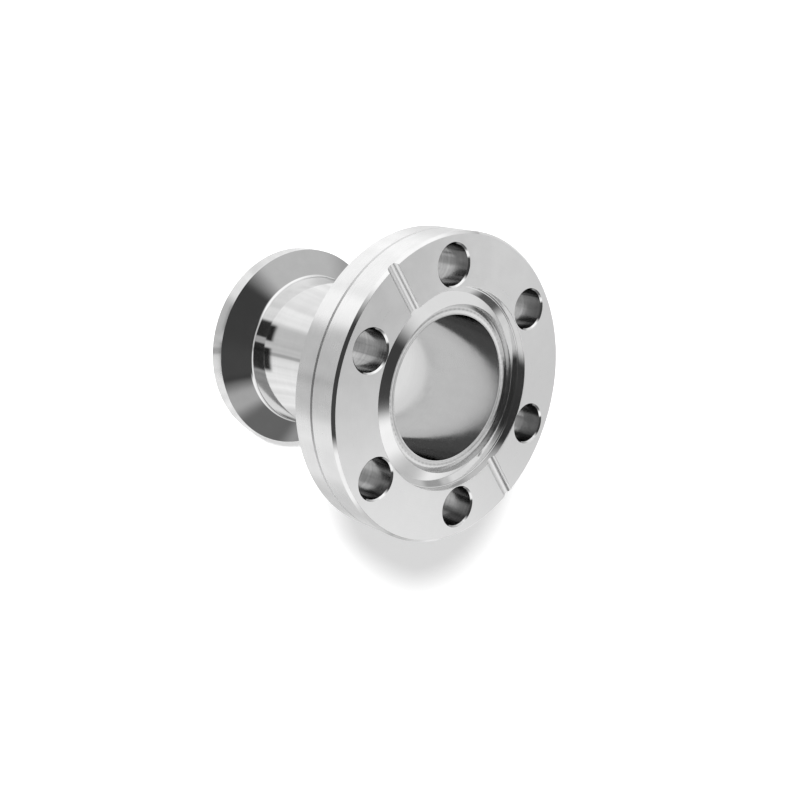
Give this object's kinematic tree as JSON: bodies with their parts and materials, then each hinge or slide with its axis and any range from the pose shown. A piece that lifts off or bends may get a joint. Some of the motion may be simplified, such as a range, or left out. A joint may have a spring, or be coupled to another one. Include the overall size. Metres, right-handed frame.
{
  "type": "vacuum flange adapter",
  "caption": "Straight polished vacuum adapter: a bolted knife-edge flange on a short tube that ends in a small tapered quick-clamp flange.",
  "frame": {"origin": "centre of the clamp flange's sealing face, on the tube's axis", "axes": "+Z along the tube, out of the knife-edge flange's face; X along the two leak-check grooves"},
  "size_m": [0.0338, 0.0338, 0.0284],
  "materials": {
    "flange_steel": "satin, fine turned",
    "tube_steel": "mirror polished",
    "weld_steel": "smooth weld bead"
  },
  "bodies": {
    "root": {"cf_flange": "flange_steel", "clamp_nipple": "tube_steel", "weld_bead": "weld_steel"}
  },
  "joints": []
}
